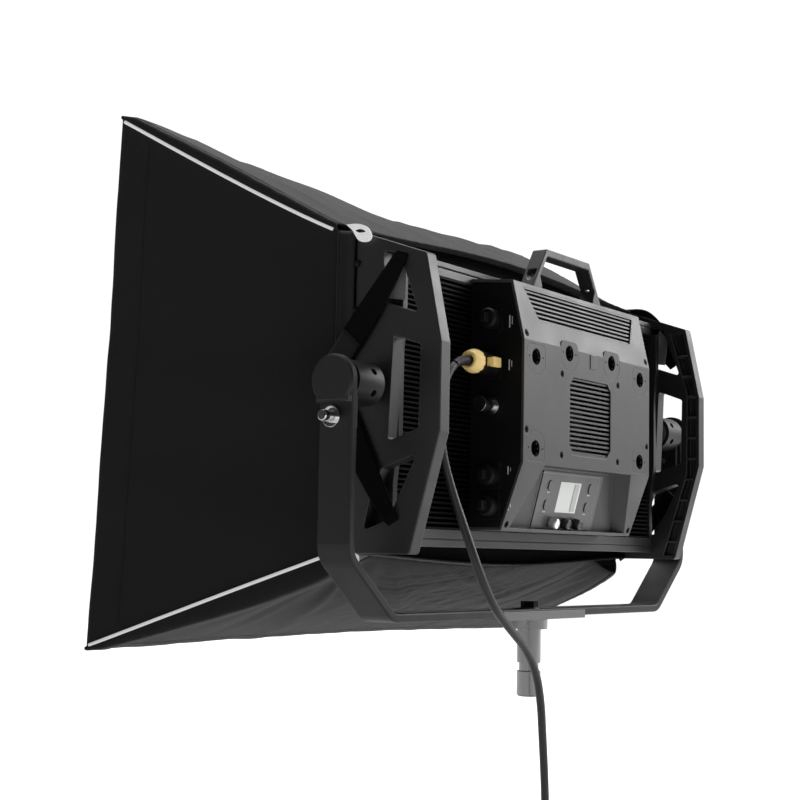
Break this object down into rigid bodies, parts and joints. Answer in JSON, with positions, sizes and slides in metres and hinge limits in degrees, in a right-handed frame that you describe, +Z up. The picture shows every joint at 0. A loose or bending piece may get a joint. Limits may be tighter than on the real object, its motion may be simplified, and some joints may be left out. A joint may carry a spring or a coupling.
{
  "type": "led panel light with softbox",
  "caption": "Wide LED panel light in a U-shaped yoke with a spigot, fitted with a flared black fabric softbox and a power lead.",
  "frame": {"origin": "centre of the yoke spigot at its shoulder, where it rests on a lighting stand", "axes": "+Z up, light leaves along -Y, +X towards the connector side"},
  "size_m": [0.86, 0.3911, 0.9678],
  "materials": {
    "yoke_paint": "fine textured powder coat",
    "hub_black": "fine textured moulding",
    "spigot_steel": "turned and polished",
    "bolt_black": "black oxide",
    "bracket_grey": "satin grey",
    "pin_steel": "bright plated",
    "friction_ring": "fibre disc",
    "frame_black": "fine textured black",
    "rail_black": "satin black anodised",
    "fin_black": "black anodised fins",
    "bare_aluminium": "bead blasted",
    "led_board": "white solder mask",
    "lens": "frosted",
    "cover_grey": "satin dark grey",
    "side_black": "matt black",
    "panel_grey": "satin membrane",
    "display": "lit screen",
    "knob_silver": "turned",
    "knob_black": "ribbed",
    "supply_metal": "sheet",
    "fan_black": "moulded",
    "connector_black": "moulded",
    "cap_rubber": "soft moulded",
    "round_chrome": "plated rings",
    "connector_gold": "moulded, golden yellow",
    "lead_rubber": "smooth sheath",
    "box_fabric": "fine plain weave, black",
    "diffuser_fabric": "white diffusion cloth",
    "strap_webbing": "black webbing"
  },
  "bodies": {
    "yoke": {"yoke_frame": "yoke_paint", "yoke_bosses": "hub_black", "pivot_caps": "hub_black", "friction_discs": "friction_ring", "pin_bushings": "pin_steel", "spigot_plate": "bracket_grey", "spigot": "spigot_steel", "spigot_washer": "spigot_steel", "spigot_bolt": "bolt_black", "lead_hanging_run": "lead_rubber", "lead_coil": "lead_rubber", "mains_plug": "connector_black"},
    "head": {"tilt_hubs": "hub_black", "pivot_shafts": "spigot_steel", "cover_screws": "bolt_black", "side_frame_left": "frame_black", "side_frame_right": "frame_black", "top_rail": "rail_black", "bottom_rail": "rail_black", "front_bezel": "rail_black", "heat_sink": "fin_black", "end_plates": "bare_aluminium", "led_boards": "led_board", "control_board": "led_board", "front_lens": "lens", "rear_cover": "cover_grey", "carry_handle": "cover_grey", "louvre_grille": "cover_grey", "centre_grille": "cover_grey", "mounting_sockets": "cover_grey", "side_cover_left": "side_black", "side_cover_right": "side_black", "control_panel": "panel_grey", "display_window": "display", "power_supply": "supply_metal", "fan_frame": "fan_black", "power_inlet": "connector_black", "data_connectors": "connector_black", "power_plug": "connector_black", "dust_caps": "cap_rubber", "round_connector": "round_chrome", "plug_collar": "connector_gold", "lead_upper_run": "lead_rubber", "softbox_sides": "box_fabric", "softbox_top": "box_fabric", "softbox_bottom": "box_fabric", "softbox_collar": "box_fabric", "softbox_diffuser": "diffuser_fabric", "softbox_straps": "strap_webbing"},
    "pull_pin_right": {"pull_pin_right": "pin_steel"},
    "pull_pin_left": {"pull_pin_left": "pin_steel"},
    "fan": {"fan_rotor": "fan_black"},
    "plug_latch": {"plug_latch": "connector_gold"},
    "button_lower_left": {"button_lower_left": "panel_grey"},
    "button_upper_left": {"button_upper_left": "panel_grey"},
    "button_lower_right": {"button_lower_right": "panel_grey"},
    "button_upper_right": {"button_upper_right": "panel_grey"},
    "select_knob": {"select_knob": "knob_silver"},
    "dimmer_knob": {"dimmer_knob": "knob_black"},
    "colour_knob": {"colour_knob": "knob_black"}
  },
  "joints": [
    {"name": "tilt", "type": "hinge", "parent": "yoke", "child": "head", "pos_m": [0, 0, 0.261], "axis": [1, 0, 0], "range_deg": [-90, 12]},
    {"name": "pin_right_pull", "type": "slide", "parent": "yoke", "child": "pull_pin_right", "axis": [1, 0, 0], "range_m": [0, 0.006], "stiffness_N_per_m": 1500, "springref_m": -0.002},
    {"name": "pin_left_pull", "type": "slide", "parent": "yoke", "child": "pull_pin_left", "axis": [-1, 0, 0], "range_m": [0, 0.006], "stiffness_N_per_m": 1500, "springref_m": -0.002},
    {"name": "fan_spin", "type": "hinge", "parent": "head", "child": "fan", "pos_m": [0, 0.05, 0.251], "axis": [0, 1, 0], "continuous": true},
    {"name": "latch_slide", "type": "slide", "parent": "head", "child": "plug_latch", "axis": [1, 0, 0], "range_m": [0, 0.003], "stiffness_N_per_m": 900, "springref_m": -0.002},
    {"name": "button_lower_left_press", "type": "slide", "parent": "head", "child": "button_lower_left", "axis": [0, -0.9654, 0.2609], "range_m": [0, 0.0008], "stiffness_N_per_m": 3000, "springref_m": -0.0004},
    {"name": "button_upper_left_press", "type": "slide", "parent": "head", "child": "button_upper_left", "axis": [0, -0.9654, 0.2609], "range_m": [0, 0.0008], "stiffness_N_per_m": 3000, "springref_m": -0.0004},
    {"name": "button_lower_right_press", "type": "slide", "parent": "head", "child": "button_lower_right", "axis": [0, -0.9654, 0.2609], "range_m": [0, 0.0008], "stiffness_N_per_m": 3000, "springref_m": -0.0004},
    {"name": "button_upper_right_press", "type": "slide", "parent": "head", "child": "button_upper_right", "axis": [0, -0.9654, 0.2609], "range_m": [0, 0.0008], "stiffness_N_per_m": 3000, "springref_m": -0.0004},
    {"name": "select_turn", "type": "hinge", "parent": "head", "child": "select_knob", "pos_m": [0.031, 0.045, 0.1271], "axis": [0, 0.9654, -0.2609], "continuous": true},
    {"name": "dimmer_turn", "type": "hinge", "parent": "head", "child": "dimmer_knob", "pos_m": [0.003, 0.045, 0.1271], "axis": [0, 0.9654, -0.2609], "continuous": true},
    {"name": "colour_turn", "type": "hinge", "parent": "head", "child": "colour_knob", "pos_m": [-0.025, 0.045, 0.1271], "axis": [0, 0.9654, -0.2609], "continuous": true}
  ]
}
